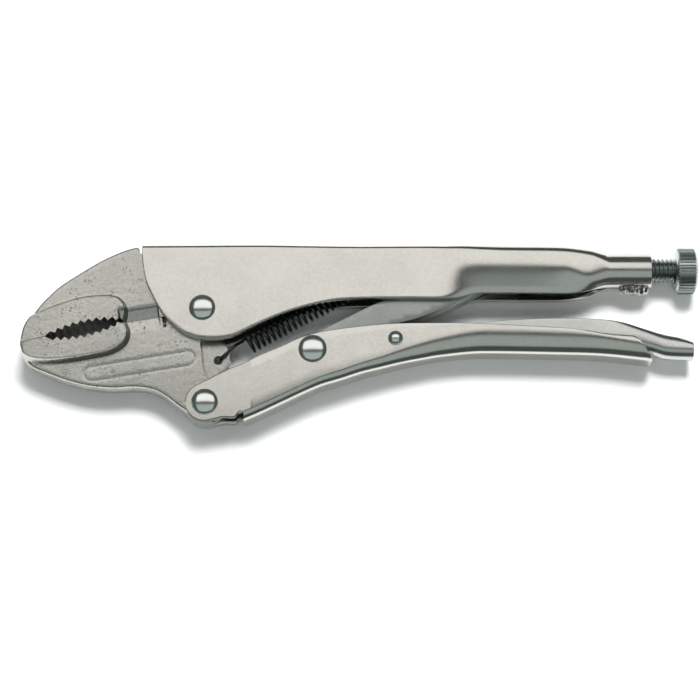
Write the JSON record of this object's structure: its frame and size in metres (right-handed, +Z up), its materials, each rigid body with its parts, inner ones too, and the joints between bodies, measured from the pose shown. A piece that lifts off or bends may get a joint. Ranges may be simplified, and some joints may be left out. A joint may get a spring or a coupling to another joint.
{
  "type": "locking pliers",
  "caption": "Curved-jaw locking pliers with wire cutter, folded sheet handles, toggle link, release lever, spring and knurled adjusting screw, locked shut and lying flat.",
  "frame": {"origin": "centre of the bounding box at the table surface, below the middle of the tool lying flat", "axes": "+X along the tool from the jaw tip to the adjusting knob, +Y across from the lower handle to the upper handle, +Z up through the thickness"},
  "size_m": [0.25, 0.0676, 0.0174],
  "materials": {
    "handle_nickel": "satin nickel-plated folded sheet",
    "lever_nickel": "satin nickel-plated thin sheet",
    "jaw_nickel": "nickel-plated forging, slightly pitted, ground pads",
    "link_nickel": "nickel-plated bar, duller",
    "screw_steel": "dark grey plated thread",
    "knob_steel": "grey knurled steel",
    "spring_steel": "dark oiled spring wire",
    "rivet_chrome": "bright domed rivet head"
  },
  "bodies": {
    "fixed_frame": {"upper_handle": "handle_nickel", "upper_jaw": "jaw_nickel", "jaw_pivot_rivet": "rivet_chrome", "spring_anchor": "link_nickel", "jaw_spring": "spring_steel"},
    "jaw": {"lower_jaw": "jaw_nickel"},
    "handle": {"lower_handle": "handle_nickel", "handle_pivot_rivet": "rivet_chrome", "link_pivot_rivet": "rivet_chrome", "lever_pivot_rivet": "rivet_chrome"},
    "link": {"toggle_link": "link_nickel"},
    "lever": {"release_lever": "lever_nickel"},
    "screw": {"adjusting_screw": "screw_steel"},
    "knob": {"adjusting_knob": "knob_steel"}
  },
  "joints": [
    {"name": "jaw_pivot", "type": "hinge", "parent": "fixed_frame", "child": "jaw", "pos_m": [-0.0585, 0.0092, 0.0087], "axis": [0, 0, 1], "range_deg": [0, 22], "deforming": ["jaw_spring"]},
    {"name": "handle_pivot", "type": "hinge", "parent": "jaw", "child": "handle", "pos_m": [-0.057, -0.0265, 0.0087], "axis": [0, 0, 1], "range_deg": [-62.6, 0]},
    {"name": "link_pivot", "type": "hinge", "parent": "handle", "child": "link", "pos_m": [-0.0178, -0.0065, 0.0087], "axis": [0, 0, 1], "range_deg": [0, 61.8]},
    {"name": "lever_pivot", "type": "hinge", "parent": "handle", "child": "lever", "pos_m": [0.0126, -0.0025, 0.0087], "axis": [0, 0, 1], "range_deg": [0, 4.5]},
    {"name": "screw_travel", "type": "slide", "parent": "fixed_frame", "child": "screw", "axis": [1, 0, 0], "range_m": [0, 0.0128]},
    {"name": "knob_turn", "type": "hinge", "parent": "screw", "child": "knob", "pos_m": [0.118, 0.0252, 0.0087], "axis": [1, 0, 0], "range_deg": [0, 2880]}
  ],
  "couplings": [
    {"joint": "handle_pivot", "follows": "jaw_pivot", "ratio": -2.84},
    {"joint": "link_pivot", "follows": "jaw_pivot", "ratio": 2.8},
    {"joint": "knob_turn", "follows": "screw_travel", "rad_per_m": 3927}
  ]
}
